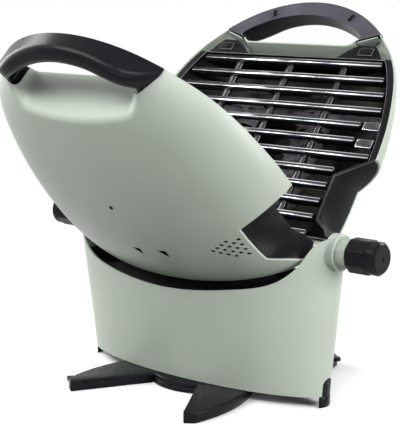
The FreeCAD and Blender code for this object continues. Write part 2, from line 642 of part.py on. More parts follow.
def vent_tools():
    """Air vents: columns of slots beside the right recess, two louvres and a small slot."""
    tools = []
    wide, high, skew = VENT_SIZE
    for column, (first, count) in enumerate(VENT_RUNS):
        x = RECESS_INNER + VENT_CORNER[0] - VENT_ACROSS * column
        for i in range(count):
            v = VENT_CORNER[1] + VENT_DRIFT * column - VENT_DOWN * (first + 2 * i)
            corners = [(x - wide + skew, v - high), (x + wide + skew, v - high),
                       (x + wide - skew, v + high), (x - wide - skew, v + high)]
            tools.append(polygon_face([place(a, b, 30) for a, b in corners]).extrude(Vec(0, -90, 0)))
    half, drop = LOUVRE_SIZE
    for x in LOUVRES:
        points = [(x - half, LOUVRE_TOP), (x + half, LOUVRE_TOP), (x + half - 1, LOUVRE_TOP - drop)]
        tools.append(polygon_face([place(a, b, 60) for a, b in points]).extrude(Vec(0, -60, 0)))
    tools.append(rod(place(0, PEEP_SLOT, 60), place(0, PEEP_SLOT, 120), PEEP_RADIUS))
    return tools


def pocket_tool(grow):
    """Finger pocket as a cutting solid, open above, grown by grow."""
    half = HOLE_HALF + grow
    low = HOLE_BOTTOM - grow
    corners = [place(x, v, 0) for x, v in ((-half, HANDLE_TOP), (-half, low), (half, low), (half, HANDLE_TOP))]
    bend = HOLE_ROUND + grow
    return slanted(Part.Face(rounded_wire(corners, (0, bend, bend, 0))), HOLE_SLANT)


def pocketed_dome(inset):
    """Dome moved in by inset with the finger pocket cut out and its rim rounded."""
    solid = dome(inset)
    tool = pocket_tool(inset)
    curved = min(solid.Faces, key=lambda face: face.CenterOfMass.y)
    body = solid.cut(tool)
    rim = []
    for edge in body.Edges:
        middle = Part.Vertex(edge.valueAt((edge.FirstParameter + edge.LastParameter) / 2))
        if curved.distToShape(middle)[0] < 0.001 and tool.distToShape(middle)[0] < 0.001:
            rim.append(edge)
    return body.makeFillet(POCKET_ROUND - inset, rim)


def half_shell():
    """Green dome of one half with its recesses, finger pocket and vents."""
    wall = pocketed_dome(0).cut(pocketed_dome(SHELL_WALL))
    wall = wall.common(half_slab(PARTING_GAP, FAR, SHELL_EDGE)).cut(above_seam())
    return wall.cut(recesses(0) + vent_tools())


def handle_depth(x, distance):
    """Depth of the handle: a leaning face, rounded at the ends by an oval."""
    lean = HANDLE_LEAN[0] - HANDLE_LEAN[1] * (distance - HANDLE_LEAN_FROM)
    oval = HANDLE_OVAL[1] * math.sqrt(1 - (x / HANDLE_OVAL[0]) ** 2)
    return min(lean, oval)


def handle_section(inner, outer):
    """Cross-section of the handle between an inner and an outer point of the parting plane."""
    corners = [place(*outer, PARTING_GAP), place(*outer, handle_depth(*outer)),
               place(*inner, handle_depth(*inner)), place(*inner, PARTING_GAP)]
    return rounded_wire(corners, (0, HANDLE_EDGES[0], HANDLE_EDGES[1], 0))


def half_handle():
    """Black half handle: sections lofted from seam to seam over the finger pocket."""
    pairs = [((SEAM_INNER[0], SEAM_INNER[1] + GAP), (SEAM_OUTER[0], SEAM_OUTER[1] + GAP))]
    for angle in HANDLE_ANGLES + (0.0,):
        across, along = math.sin(math.radians(angle)), math.cos(math.radians(angle))
        radii = (HANDLE_ARC - HANDLE_BAR, HANDLE_ARC)
        pairs.append([(radius * across, HANDLE_CENTRE + radius * along) for radius in radii])
    right = [handle_section(inner, outer) for inner, outer in pairs]
    left = [handle_section((-inner[0], inner[1]), (-outer[0], outer[1]))
            for inner, outer in reversed(pairs[:-1])]
    return Part.makeLoft(right + left, True, False)


def half_recess():
    """Black wall round the right-hand side recess."""
    wall = slanted(recess_face(RECESS_WALL), RECESS_SLANT).cut(slanted(recess_face(0), RECESS_SLANT))
    room = dome(SHELL_WALL + GAP).common(half_slab(PARTING_GAP, FAR, SHELL_EDGE + 1))
    return max(wall.common(room).Solids, key=lambda solid: solid.Volume)


def pan_ears():
    """Corner plates of the pan beside the finger pocket, each with a raised pad."""
    points = [place(x, PAN_HIGH - SHEET + beyond, FLANGE_TOP) for x, beyond in EAR]
    plate = polygon_face(points).extrude(Vec(0, -SHEET, 0))
    x0, x1, low, high = EAR_PAD
    pad = block(x0, x1, -FLANGE_TOP, -EAR_PAD_TOP, AXIS_Z + PAN_HIGH + low, AXIS_Z + PAN_HIGH + high)
    ear = joined([plate, pad])
    return [ear, mirrored_x(ear)]


def half_pan():
    """Black inner pan with its end walls, flange and ears."""
    outer = dome(PAN_INSET)
    skin = outer.cut(dome(PAN_INSET + SHEET)).common(half_slab(FLANGE_TOP, FAR, PAN_LOW, PAN_HIGH))
    low_wall = outer.common(half_slab(FLANGE_TOP, FAR, PAN_LOW, PAN_LOW + SHEET))
    high_wall = outer.common(half_slab(FLANGE_TOP, FAR, PAN_HIGH - SHEET, PAN_HIGH))
    flange = dome(SHELL_WALL + GAP).cut(dome(FLANGE_INSET))
    flange = flange.common(half_slab(FLANGE_TOP, FLANGE_TOP + SHEET, PAN_LOW, PAN_HIGH))
    body = joined([skin, low_wall, high_wall, flange] + pan_ears()).cut(recesses(RECESS_WALL + GAP))
    feed = rod(place(FEED_X, *FEED_BEND), place(BURNER_HALF, BURNER_LOW, BURNER_DEPTH), FEED_RADIUS + GAP)
    body = body.cut([feed] + bracket_screw_holes())
    return max(body.Solids, key=lambda solid: solid.Volume)


def bar_end(distance):
    """Where a grate bar ends on either side."""
    if distance < RECESS_HIGH[1] + BAR_FOOT + BAR_MARGIN:
        return RECESS_INNER - 8.0
    reach = BAR_FOOT / 2 + GAP
    if any(clip - reach < distance < clip + CLIP_WIDTH + reach for clip in CLIPS):
        return CLIP_INNER - 5.0
    return min(half_width(distance - BAR_FOOT / 2), half_width(distance + BAR_FOOT / 2)) - BAR_MARGIN


def half_grate():
    """Enamelled grate: bevelled bars on ribs."""
    shapes = []
    low = GRATE_TOP + GRATE_HEIGHT
    pitch = (GRATE_LAST - GRATE_FIRST) / (GRATE_BARS - 1)
    section = [(-BAR_FOOT / 2, low), (-BAR_FOOT / 2, GRATE_TOP + BAR_BEVEL), (-BAR_TOP / 2, GRATE_TOP),
               (BAR_TOP / 2, GRATE_TOP), (BAR_FOOT / 2, GRATE_TOP + BAR_BEVEL), (BAR_FOOT / 2, low)]
    for i in range(GRATE_BARS):
        v = GRATE_FIRST + pitch * i
        end = bar_end(v)
        face = polygon_face([place(-end, v + across, depth) for across, depth in section])
        shapes.append(face.extrude(Vec(2 * end, 0, 0)))
    for x in (-RIB_SPACING, 0.0, RIB_SPACING):
        shapes.append(block(x - RIB_WIDTH / 2, x + RIB_WIDTH / 2, -low, RIB_HEIGHT - low,
                            AXIS_Z + GRATE_FIRST, AXIS_Z + GRATE_LAST))
    return joined(shapes)


def half_clips():
    """Bright clips that hold the grate at its sides, as one group."""
    clips = []
    room = dome(PAN_INSET + SHEET + GAP)
    outer = CLIP_INNER + CLIP_REACH
    for side in (-1, 1):
        for low in CLIPS:
            heights = (AXIS_Z + low, AXIS_Z + low + CLIP_WIDTH)
            ends = sorted((side * CLIP_INNER, side * outer))
            tongue = block(*ends, -CLIP_TOP - CLIP_SHEET, -CLIP_TOP, *heights)
            stem = block(*sorted((side * (outer - CLIP_SHEET), side * outer)), -60.0, -CLIP_TOP, *heights)
            clips.append(joined([tongue, stem.common(room)]))
    return Part.makeCompound(clips)


def half_burner():
    """Tube burner with its feed from the hinge axis."""
    low = [place(x, BURNER_LOW, BURNER_DEPTH) for x in (-BURNER_HALF, BURNER_HALF)]
    high = [place(x, BURNER_HIGH, BURNER_DEPTH) for x in (-BURNER_HALF, BURNER_HALF)]
    tubes = [rod(a, b, BURNER_RADIUS) for a, b in zip(low, high)] + [rod(high[0], high[1], BURNER_RADIUS)]
    elbows = [Part.makeSphere(BURNER_RADIUS, point) for point in high + [low[1]]]
    root, turn = place(FEED_X, 0, 0), place(FEED_X, *FEED_BEND)
    feed = [cylinder_x(FEED_RADIUS, FEED_X, FEED_MOUTH), rod(root, turn, FEED_RADIUS),
            rod(turn, low[1], FEED_RADIUS)]
    feed += [Part.makeSphere(FEED_RADIUS, point) for point in (root, turn)]
    return joined(tubes + elbows + feed).cut(cylinder_x(FEED_BORE, FEED_X + 10, FEED_MOUTH + 1))


def half_tent():
    """Folded and slotted heat tents over the burner legs, on two straps."""
    tents = []
    eaves = TENT_DEPTH + TENT_FALL
    near, far, slot_height = TENT_SLOT
    pitch = TENT_LENGTH / TENT_SLOTS
    for x in (-BURNER_HALF, BURNER_HALF):
        fold = [(x - TENT_HALF, eaves), (x, TENT_DEPTH), (x + TENT_HALF, eaves),
                (x + TENT_HALF, eaves + SHEET), (x, TENT_DEPTH + SHEET), (x - TENT_HALF, eaves + SHEET)]
        tent = polygon_face([place(a, TENT_LOW, depth) for a, depth in fold]).extrude(Vec(0, 0, TENT_LENGTH))
        for i in range(TENT_SLOTS):
            v = AXIS_Z + TENT_LOW + pitch * (i + 0.5)
            slots = [block(*sorted((x + side * near, x + side * far)), -80, 0,
                           v - slot_height / 2, v + slot_height / 2) for side in (-1, 1)]
            tent = tent.cut(slots)
        tents.append(tent)
    room = dome(PAN_INSET + SHEET + GAP)
    depth = TENT_DEPTH + STRAP_DROP
    for along, half in zip(STRAPS, (RECESS_INNER - 5.0, DOME_HALF_WIDTH)):
        low = TENT_LOW + along
        tents.append(half_slab(depth, depth + SHEET, low, low + STRAP_WIDTH, half).common(room))
    return joined(tents)


def half_bracket(start):
    """Hinge bracket: ring on the trunnion and an arm under the pan's end wall."""
    end = start + BRACKET_WIDTH
    ring = cylinder_x(RING_RADIUS, start, end)
    arm = block(start, end, -BRACKET_REACH, -PARTING_GAP, AXIS_Z - BRACKET_DROP, AXIS_Z + PAN_LOW)
    body = joined([ring, arm]).cut(cylinder_x(TRUNNION_RADIUS + FIT, start - 1, end + 1))
    return body.cut(bracket_screw_holes())


def bracket_screws_at():
    """Places of the bracket screws on the pan's end wall."""
    starts = (BRACKET_INNER, -BRACKET_OUTER - BRACKET_WIDTH)
    return [(start + BRACKET_WIDTH / 2, depth) for start in starts for depth in BRACKET_SCREWS]


def bracket_screw_holes():
    """Clearance holes for the bracket screws."""
    return [rod(place(x, -2 * BRACKET_DROP, depth), place(x, PAN_LOW + 5, depth), SCREW_RADIUS + FIT)
            for x, depth in bracket_screws_at()]


def half_screws():
    """Screws that hold the brackets to the pan, as one group."""
    screws = []
    radius, height = SCREW_HEAD
    under = PAN_LOW + SHEET
    for x, depth in bracket_screws_at():
        head = rod(place(x, under, depth), place(x, under + height, depth), radius)
        shank = rod(place(x, under - SCREW_LENGTH, depth), place(x, under, depth), SCREW_RADIUS)
        screws.append(joined([head, shank]))
    return Part.makeCompound(screws)


def build_half():
    """All pieces of one half, closed, as name and shape."""
    recess = half_recess()
    return {"shell": half_shell(), "handle": half_handle(), "pan": half_pan(),
            "right_recess": recess, "left_recess": mirrored_x(recess),
            "grate": half_grate(), "clips": half_clips(), "burner": half_burner(), "tent": half_tent(),
            "right_bracket": half_bracket(BRACKET_INNER),
            "left_bracket": half_bracket(-BRACKET_OUTER - BRACKET_WIDTH), "screws": half_screws()}


def posed(shape, rear):
    """Turn a closed half to its place: the rear half is the same part turned round."""
    result = shape.copy()
    axis_point = Vec(0, 0, AXIS_Z)
    if rear:
        result.rotate(axis_point, Vec(0, 0, 1), 180)
    result.rotate(axis_point, Vec(1, 0, 0), -REAR_OPEN if rear else FRONT_OPEN)
    return result


def main():
    """Build every piece and write one file for each."""
    nodes = {"base_shell": base_shell(), "base_trough": base_trough(), "bottom_plate": bottom_plate(),
             "base_screws": base_screws(), "hub_bolt": hub_bolt(),
             "upper_leg_bar": leg_bar(True), "lower_leg_bar": leg_bar(False),
             "gas_rail": gas_rail(), "gas_inlet": gas_inlet()}
    end_pieces = {"trunnion": trunnion(), "retaining_ring": retaining_ring(), "collar": collar(),
                  "valve": valve(), "spindle": spindle(), "knob_seat": knob_seat(), "knob": knob(),
                  "spring": knob_spring()}
    for name, shape in end_pieces.items():
        nodes["right_" + name] = shape
        turned = shape.copy()
        turned.rotate(Vec(0, 0, AXIS_Z), Vec(0, 0, 1), 180)
        nodes["left_" + name] = turned
    for name, shape in build_half().items():
        nodes["front_" + name] = posed(shape, False)
        nodes["rear_" + name] = posed(shape, True)
    for name, shape in nodes.items():
        shape.exportStep("parts/" + name + ".step")
        print(name, round(shape.Volume / 1000, 1), "cm3", len(shape.Solids), "solids", shape.isValid())


if __name__ == "__main__":
    main()
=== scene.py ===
"""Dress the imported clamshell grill: finishes, small details, studio light and camera."""
from __future__ import annotations

import json
import logging
import math
from collections.abc import Callable, Iterable, Sequence
from dataclasses import dataclass, field
from enum import Enum

import bmesh
import bpy
from mathutils import Matrix, Vector

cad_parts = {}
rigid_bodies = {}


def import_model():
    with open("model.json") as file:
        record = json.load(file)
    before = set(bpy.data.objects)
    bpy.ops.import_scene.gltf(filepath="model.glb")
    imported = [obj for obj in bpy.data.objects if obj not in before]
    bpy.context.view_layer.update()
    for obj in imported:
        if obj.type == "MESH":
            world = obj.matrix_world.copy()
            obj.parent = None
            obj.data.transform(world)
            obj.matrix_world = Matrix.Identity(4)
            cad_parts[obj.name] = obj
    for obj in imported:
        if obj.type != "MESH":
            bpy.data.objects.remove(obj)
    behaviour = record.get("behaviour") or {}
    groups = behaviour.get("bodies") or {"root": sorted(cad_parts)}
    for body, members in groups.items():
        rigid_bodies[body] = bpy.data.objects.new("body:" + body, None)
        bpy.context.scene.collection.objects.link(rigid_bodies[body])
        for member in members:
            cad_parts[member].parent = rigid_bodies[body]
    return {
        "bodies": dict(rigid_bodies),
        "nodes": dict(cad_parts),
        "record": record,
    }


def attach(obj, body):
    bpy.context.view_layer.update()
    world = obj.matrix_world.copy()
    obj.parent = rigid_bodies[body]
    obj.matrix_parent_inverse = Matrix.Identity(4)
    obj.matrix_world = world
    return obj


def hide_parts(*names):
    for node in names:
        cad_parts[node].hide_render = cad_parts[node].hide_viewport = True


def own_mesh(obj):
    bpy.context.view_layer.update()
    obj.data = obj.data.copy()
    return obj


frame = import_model()
log = logging.getLogger("grill")

Colour = tuple[float, float, float]
Place = tuple[float, float, float]
Span = tuple[float, float]
FaceTest = Callable[[Vector, Vector], bool]

WHITE: Colour = (1.0, 1.0, 1.0)
SEEN_RAYS = ("Is Camera Ray", "Is Glossy Ray", "Is Transmission Ray")


class Slot(Enum):
    """Names of the record's material slots."""

    GREEN = "green_coat"
    PLASTIC = "black_plastic"
    BLACK_STEEL = "black_steel"
    ENAMEL = "enamel"
    STEEL = "steel"
    BRASS = "brass"
    ALUMINIUM = "aluminium"


class Detail(Enum):
    """Finishes of small places that differ from their piece's own slot: painted highlights on edges, a
    painted reflection on the handles' mating faces, painted shade in vents and sockets, and heat-stained
    steel.
    """

    BRIGHT_EDGE = "bright_edge"
    WORN_EDGE = "worn_edge"
    SCUFFED_EDGE = "scuffed_edge"
    MATING_FACE = "mating_face"
    SOOT = "soot"
    BURNT_STEEL = "burnt_steel"


class End(Enum):
    """The two ends of the hinge axis, or of one half."""

    LEFT = "left"
    RIGHT = "right"


@dataclass(frozen=True)
class Grain:
    """One noise: its waves in a metre, and how many finer layers lie on them."""

    scale: float
    detail: float = 3.0


class NodeTree:
    """Short calls for building one material's nodes."""

    colour_span: Span = (0.3, 0.7)
    value_span: Span = (0.25, 0.75)

    def __init__(self, name: str) -> None:
        """Start a material with a Principled shader.

        Args:
            name: the material's name.
        """
        self.material = bpy.data.materials.new(name)
        self.material.use_nodes = True
        self.tree = self.material.node_tree
        self.shader = self.tree.nodes["Principled BSDF"]
        self.place = self.tree.nodes.new("ShaderNodeTexCoord").outputs["Object"]

    def noise(self, grain: Grain) -> bpy.types.NodeSocket:
        """Noise over the piece's own coordinates, in metres.

        Args:
            grain: the noise's scale and detail.

        Returns:
            The socket that holds the noise.
        """
        node = self.tree.nodes.new("ShaderNodeTexNoise")
        node.inputs["Scale"].default_value = grain.scale
        node.inputs["Detail"].default_value = grain.detail
        self.tree.links.new(self.place, node.inputs["Vector"])
        return node.outputs["Fac"]

    def stretched_noise(self, scales: Place, detail: float) -> bpy.types.NodeSocket:
        """Noise drawn out along the axes, as brush marks are.

        Args:
            scales: waves in a metre along each axis.
            detail: how many finer layers lie on them.

        Returns:
            The socket that holds the noise.
        """
        mapping = self.tree.nodes.new("ShaderNodeMapping")
        mapping.inputs["Scale"].default_value = scales
        self.tree.links.new(self.place, mapping.inputs["Vector"])
        node = self.tree.nodes.new("ShaderNodeTexNoise")
        node.inputs["Scale"].default_value = 1.0
        node.inputs["Detail"].default_value = detail
        self.tree.links.new(mapping.outputs["Vector"], node.inputs["Vector"])
        return node.outputs["Fac"]

    def between(self, factor: bpy.types.NodeSocket, low: Colour, high: Colour) -> bpy.types.NodeSocket:
        """Colour ramp over the middle of a noise.

        Args:
            factor: the noise.
            low: colour of its low places.
            high: colour of its high places.

        Returns:
            The socket that holds the colour.
        """
        ramp = self.tree.nodes.new("ShaderNodeValToRGB")
        for stop, position, colour in zip(ramp.color_ramp.elements, self.colour_span, (low, high)):
            stop.position = position
            stop.color = (*colour, 1.0)
        self.tree.links.new(factor, ramp.inputs["Fac"])
        return ramp.outputs["Color"]

    def ranged(self, factor: bpy.types.NodeSocket, span: Span) -> bpy.types.NodeSocket:
        """The middle of a noise spread over a range of values.

        Args:
            factor: the noise.
            span: lowest and highest value.

        Returns:
            The socket that holds the value.
        """
        node = self.tree.nodes.new("ShaderNodeMapRange")
        node.inputs["From Min"].default_value, node.inputs["From Max"].default_value = self.value_span
        node.inputs["To Min"].default_value, node.inputs["To Max"].default_value = span
        self.tree.links.new(factor, node.inputs["Value"])
        return node.outputs["Result"]

    def wire(self, source: bpy.types.NodeSocket, socket: str) -> None:
        """Link a socket to an input of the shader."""
        self.tree.links.new(source, self.shader.inputs[socket])

    def constant(self, socket: str, value: float) -> None:
        """Set an input of the shader that is the same all over."""
        self.shader.inputs[socket].default_value = value

    def bump(self, height: bpy.types.NodeSocket, distance: float) -> None:
        """Raise the surface by a height map.

        Args:
            height: the map.
            distance: its full height in metres.
        """
        node = self.tree.nodes.new("ShaderNodeBump")
        node.inputs["Distance"].default_value = distance
        self.tree.links.new(height, node.inputs["Height"])
        self.wire(node.outputs["Normal"], "Normal")


@dataclass(frozen=True)
class PowderCoat:
    """Satin powder coat: fine orange peel over a slightly uneven colour."""

    name: str
    colour: Colour
    lighter: Colour
    rough: Span = (0.36, 0.46)
    gloss: float = 0.5
    cloud: Grain = Grain(14.0, 4.0)
    patches: Grain = Grain(60.0)
    peel: Grain = Grain(900.0, 2.0)
    peel_depth: float = 0.00006

    def material(self) -> bpy.types.Material:
        """Build the coat's material.

        Returns:
            The new material.
        """
        nodes = NodeTree(self.name)
        nodes.wire(nodes.between(nodes.noise(self.cloud), self.colour, self.lighter), "Base Color")
        nodes.wire(nodes.ranged(nodes.noise(self.patches), self.rough), "Roughness")
        nodes.bump(nodes.noise(self.peel), self.peel_depth)
        nodes.constant("Specular IOR Level", self.gloss)
        return nodes.material


@dataclass(frozen=True)
class MouldedPlastic:
    """Black moulded plastic with a fine spark-eroded grain."""

    name: str
    colour: Colour
    lighter: Colour
    rough: Span = (0.25, 0.31)
    gloss: float = 0.10
    cloud: Grain = Grain(30.0, 5.0)
    patches: Grain = Grain(90.0, 4.0)
    grain: Grain = Grain(2600.0, 2.0)
    grain_depth: float = 0.000004

    def material(self) -> bpy.types.Material:
        """Build the plastic's material.

        Returns:
            The new material.
        """
        nodes = NodeTree(self.name)
        nodes.wire(nodes.between(nodes.noise(self.cloud), self.colour, self.lighter), "Base Color")
        nodes.wire(nodes.ranged(nodes.noise(self.patches), self.rough), "Roughness")
        nodes.bump(nodes.noise(self.grain), self.grain_depth)
        nodes.constant("Specular IOR Level", self.gloss)
        return nodes.material


@dataclass(frozen=True)
class GlossEnamel:
    """Glossy black enamel on cast iron: soft waves under a glassy top."""

    name: str
    colour: Colour
    lighter: Colour
    rough: Span = (0.14, 0.24)
    cloud: Grain = Grain(45.0, 4.0)
    patches: Grain = Grain(120.0)
    waves: Grain = Grain(260.0)
    wave_depth: float = 0.00008
    coat: float = 0.4
    coat_rough: float = 0.06

    def material(self) -> bpy.types.Material:
        """Build the enamel's material.

        Returns:
            The new material.
        """
        nodes = NodeTree(self.name)
        nodes.wire(nodes.between(nodes.noise(self.cloud), self.colour, self.lighter), "Base Color")
        nodes.wire(nodes.ranged(nodes.noise(self.patches), self.rough), "Roughness")
        nodes.bump(nodes.noise(self.waves), self.wave_depth)
        nodes.constant("Coat Weight", self.coat)
        nodes.constant("Coat Roughness", self.coat_rough)
        return nodes.material


@dataclass(frozen=True)
class BrushedMetal:
    """Bare metal with drawn brush marks and uneven tone."""

    name: str
    colour: Colour
    darker: Colour
    rough: Span = (0.24, 0.42)
    cloud: Grain = Grain(25.0, 4.0)
    mark_scales: Place = (60.0, 900.0, 900.0)
    mark_detail: float = 2.0
    mark_depth: float = 0.00003

    def material(self) -> bpy.types.Material:
        """Build the metal's material.

        Returns:
            The new material.
        """
        nodes = NodeTree(self.name)
        marks = nodes.stretched_noise(self.mark_scales, self.mark_detail)
        nodes.wire(nodes.between(nodes.noise(self.cloud), self.darker, self.colour), "Base Color")
        nodes.wire(nodes.ranged(marks, self.rough), "Roughness")
        nodes.bump(marks, self.mark_depth)
        nodes.constant("Metallic", 1.0)
        return nodes.material


Finish = PowderCoat | MouldedPlastic | GlossEnamel | BrushedMetal

FINISHES: dict[Slot | Detail, Finish] = {
    Slot.GREEN: PowderCoat(
        "sage_powder_coat", (0.375, 0.425, 0.365), (0.395, 0.445, 0.385), gloss=0.36),
    Slot.PLASTIC: MouldedPlastic(
        "charcoal_plastic", (0.0045, 0.0042, 0.0058), (0.0065, 0.0060, 0.0080)),
    Slot.BLACK_STEEL: PowderCoat(
        "black_heat_coat", (0.0045, 0.0045, 0.0055), (0.008, 0.008, 0.0095), rough=(0.30, 0.42), gloss=0.06),
    Slot.ENAMEL: GlossEnamel(
        "black_enamel", (0.006, 0.006, 0.007), (0.011, 0.010, 0.013)),
    Slot.STEEL: BrushedMetal(
        "worn_steel", (0.42, 0.41, 0.40), (0.24, 0.23, 0.22)),
    Slot.BRASS: BrushedMetal(
        "turned_brass", (0.62, 0.44, 0.2), (0.5, 0.34, 0.14)),
    Slot.ALUMINIUM: BrushedMetal(
        "drawn_aluminium", (0.66, 0.67, 0.68), (0.52, 0.53, 0.54)),
    # Bright metal on the rounded edges of grate bars and clips: a painted highlight.
    Detail.BRIGHT_EDGE: BrushedMetal(
        "grate_edge_painted_highlight", (0.74, 0.74, 0.78), (0.50, 0.50, 0.54), rough=(0.14, 0.26)),
    # Lighter coat on the rounded recess rims: a painted highlight.
    Detail.WORN_EDGE: PowderCoat(
        "recess_edge_painted_highlight", (0.030, 0.030, 0.033), (0.060, 0.060, 0.064), rough=(0.30, 0.42), gloss=0.3),
    # Grey coat on the pan's rounded edges: a painted highlight.
    Detail.SCUFFED_EDGE: PowderCoat(
        "pan_edge_painted_highlight", (0.13, 0.13, 0.14), (0.24, 0.24, 0.25), rough=(0.26, 0.38), gloss=0.4),
    # Lighter plastic on the handles' mating faces: a painted reflection.
    Detail.MATING_FACE: MouldedPlastic(
        "mating_face_painted_reflection", (0.045, 0.043, 0.054), (0.085, 0.082, 0.098), rough=(0.34, 0.46)),
    # Near black for vent walls and socket floors: painted shade.
    Detail.SOOT: PowderCoat(
        "painted_shade_black", (0.003, 0.003, 0.003), (0.006, 0.006, 0.006), rough=(0.6, 0.75), gloss=0.05),
    Detail.BURNT_STEEL: BrushedMetal(
        "heat_stained_steel", (0.13, 0.125, 0.14), (0.045, 0.038, 0.036), rough=(0.22, 0.4)),
}


@dataclass
class Finisher:
    """Builds each finish once and puts it on the solids."""

    materials: dict[Slot | Detail, bpy.types.Material] = field(default_factory=dict)

    def material(self, name: Slot | Detail) -> bpy.types.Material:
        """The named finish's material, built once.

        Args:
            name: the finish.

        Returns:
            Its material.
        """
        if name not in self.materials:
            self.materials[name] = FINISHES[name].material()
        return self.materials[name]

    def dress_solids(self) -> None:
        """Give every solid the finish of its slot in the record."""
        for row in frame["record"]["subparts"]:
            solid = frame["nodes"][row["node"]]
            solid.data.materials.clear()
            solid.data.materials.append(self.material(Slot(row["material_slot"])))
            log.info("finish %s on %s", row["material_slot"], row["node"])

    def dress_faces(self, node: str, name: Detail, chosen: FaceTest) -> None:
        """Give the chosen faces of one solid another finish.

        Args:
            node: the solid.
            name: the finish of the chosen faces.
            chosen: says yes or no to a face from its middle and its normal.
        """
        solid = frame["nodes"][node]
        solid.data.materials.append(self.material(name))
        index = len(solid.data.materials) - 1
        for face in solid.data.polygons:
            middle = solid.matrix_world @ face.center
            normal = solid.matrix_world.to_3x3() @ face.normal
            if chosen(middle, normal):
                face.material_index = index
        log.info("finish %s on faces of %s", name.value, node)


def every_face(middle: Vector, normal: Vector) -> bool:
    """Says yes to each face, for a solid that is dressed all over."""
    return True


def owner(node: str) -> str:
    """Name of the body that a solid rides on."""
    solid = frame["nodes"][node]
    return next(name for name, empty in frame["bodies"].items() if empty == solid.parent)


def slot_of(node: str) -> Slot:
    """A solid's slot in the record."""
    return Slot(next(row["material_slot"] for row in frame["record"]["subparts"] if row["node"] == node))


def new_piece(name: str, bm: bmesh.types.BMesh, node: str,
              materials: Sequence[bpy.types.Material]) -> bpy.types.Object:
    """Turn a bmesh into a piece that rides on the same body as a solid.

    Args:
        name: the piece's name.
        bm: its shape in metres, freed here.
        node: the solid that it rides with.
        materials: its finishes, in the order in which its faces count them.

    Returns:
        The new piece.
    """
    mesh = bpy.data.meshes.new(name)
    bm.to_mesh(mesh)
    bm.free()
    for material in materials:
        mesh.materials.append(material)
    piece = bpy.data.objects.new(name, mesh)
    bpy.context.scene.collection.objects.link(piece)
    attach(piece, owner(node))
    log.info("piece %s rides with %s", name, node)
    return piece


def skin(bm: bmesh.types.BMesh, loops: Sequence[Sequence[bmesh.types.BMVert]]) -> None:
    """Join each loop of corners to the next by four-sided faces.

    Args:
        bm: the shape that gets the faces.
        loops: rings of corners, all with the same count.
    """
    for first, second in zip(loops, loops[1:]):
        count = len(first)
        for i in range(count):
            after = (i + 1) % count
            bm.faces.new((first[i], first[after], second[after], second[i]))


@dataclass
class SoftSolid:
    """A copy of one solid whose sharp edges are rounded, so that they catch light as made parts do."""

    node: str
    radius: float
    edge: Detail | None = None
    segments: int = 2
    sharp: float = 32.0
    weld: float = 0.000004
    flat: float = 0.4

    def build(self, finisher: Finisher) -> None:
        """Build the copy, dress it and let it stand for the solid.

        Args:
            finisher: gives the finishes of the solid's slot and of its edges.
        """
        slot = slot_of(self.node)
        materials = [finisher.material(slot)]
        if self.edge is not None:
            materials.append(finisher.material(self.edge))
        piece = new_piece(self.node + "_soft", self.shape(), self.node, materials)
        self.round_edges(piece)
        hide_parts(self.node)

    def shape(self) -> bmesh.types.BMesh:
        """The copy's mesh before its edges are rounded."""
        return self.welded()

    def welded(self) -> bmesh.types.BMesh:
        """The solid's mesh with its split corners joined and its flat faces whole.

        Returns:
            The new mesh.
        """
        bm = bmesh.new()
        bm.from_mesh(frame["nodes"][self.node].data)
        bmesh.ops.remove_doubles(bm, verts=bm.verts, dist=self.weld)
        bmesh.ops.dissolve_limit(bm, angle_limit=math.radians(self.flat), verts=bm.verts, edges=bm.edges)
        for face in bm.faces:
            face.smooth = True
        self.weigh_edges(bm)
        return bm

    def is_sharp(self, edge: bmesh.types.BMEdge) -> bool:
        """Whether an edge joins two faces at more than the sharp angle."""
        return len(edge.link_faces) == 2 and edge.calc_face_angle(0.0) >= math.radians(self.sharp)

    def weigh_edges(self, bm: bmesh.types.BMesh) -> None:
        """Mark the sharp outer edges for rounding; inner corners stay crisp, as folded.

        Args:
            bm: the mesh whose edges are marked.
        """
        bm.normal_update()
        weight = bm.edges.layers.float.new("bevel_weight_edge")
        for edge in filter(self.is_sharp, bm.edges):
            if edge.is_convex:
                edge[weight] = 1.0
            else:
                edge.smooth = False

    def round_edges(self, piece: bpy.types.Object) -> None:
        """Round every marked edge, in the edge's painted highlight finish where there is one.

        Args:
            piece: the copy.
        """
        bevel = piece.modifiers.new("rounded_edges", "BEVEL")
        bevel.width = self.radius
        bevel.segments = self.segments
        bevel.limit_method = "WEIGHT"
        bevel.use_clamp_overlap = False
        bevel.harden_normals = True
        if self.edge is not None:
            bevel.material = 1


@dataclass(frozen=True)
class HalfFrame:
    """Axes of one half: x across, y up from the hinge axis, z out from the parting plane."""

    prefix: str
    side: float
    lean: float
    axis_height: float = 0.1806

    def matrix(self) -> Matrix:
        """Turns the half's own coordinates into the model's.

        Returns:
            The matrix of the half's axes at rest.
        """
        sine, cosine = math.sin(math.radians(self.lean)), math.cos(math.radians(self.lean))
        across = (-self.side, 0.0, 0.0)
        up = (0.0, self.side * sine, cosine)
        out = (0.0, self.side * cosine, -sine)
        turn = Matrix(list(zip(across, up, out))).to_4x4()
        return Matrix.Translation((0.0, 0.0, self.axis_height)) @ turn

    def local(self, point: Vector) -> Vector:
        """A point of the model in the half's own coordinates."""
        return self.matrix().inverted() @ point

    def out(self) -> Vector:
        """Direction out from the parting plane."""
        return self.matrix().to_3x3().col[2]


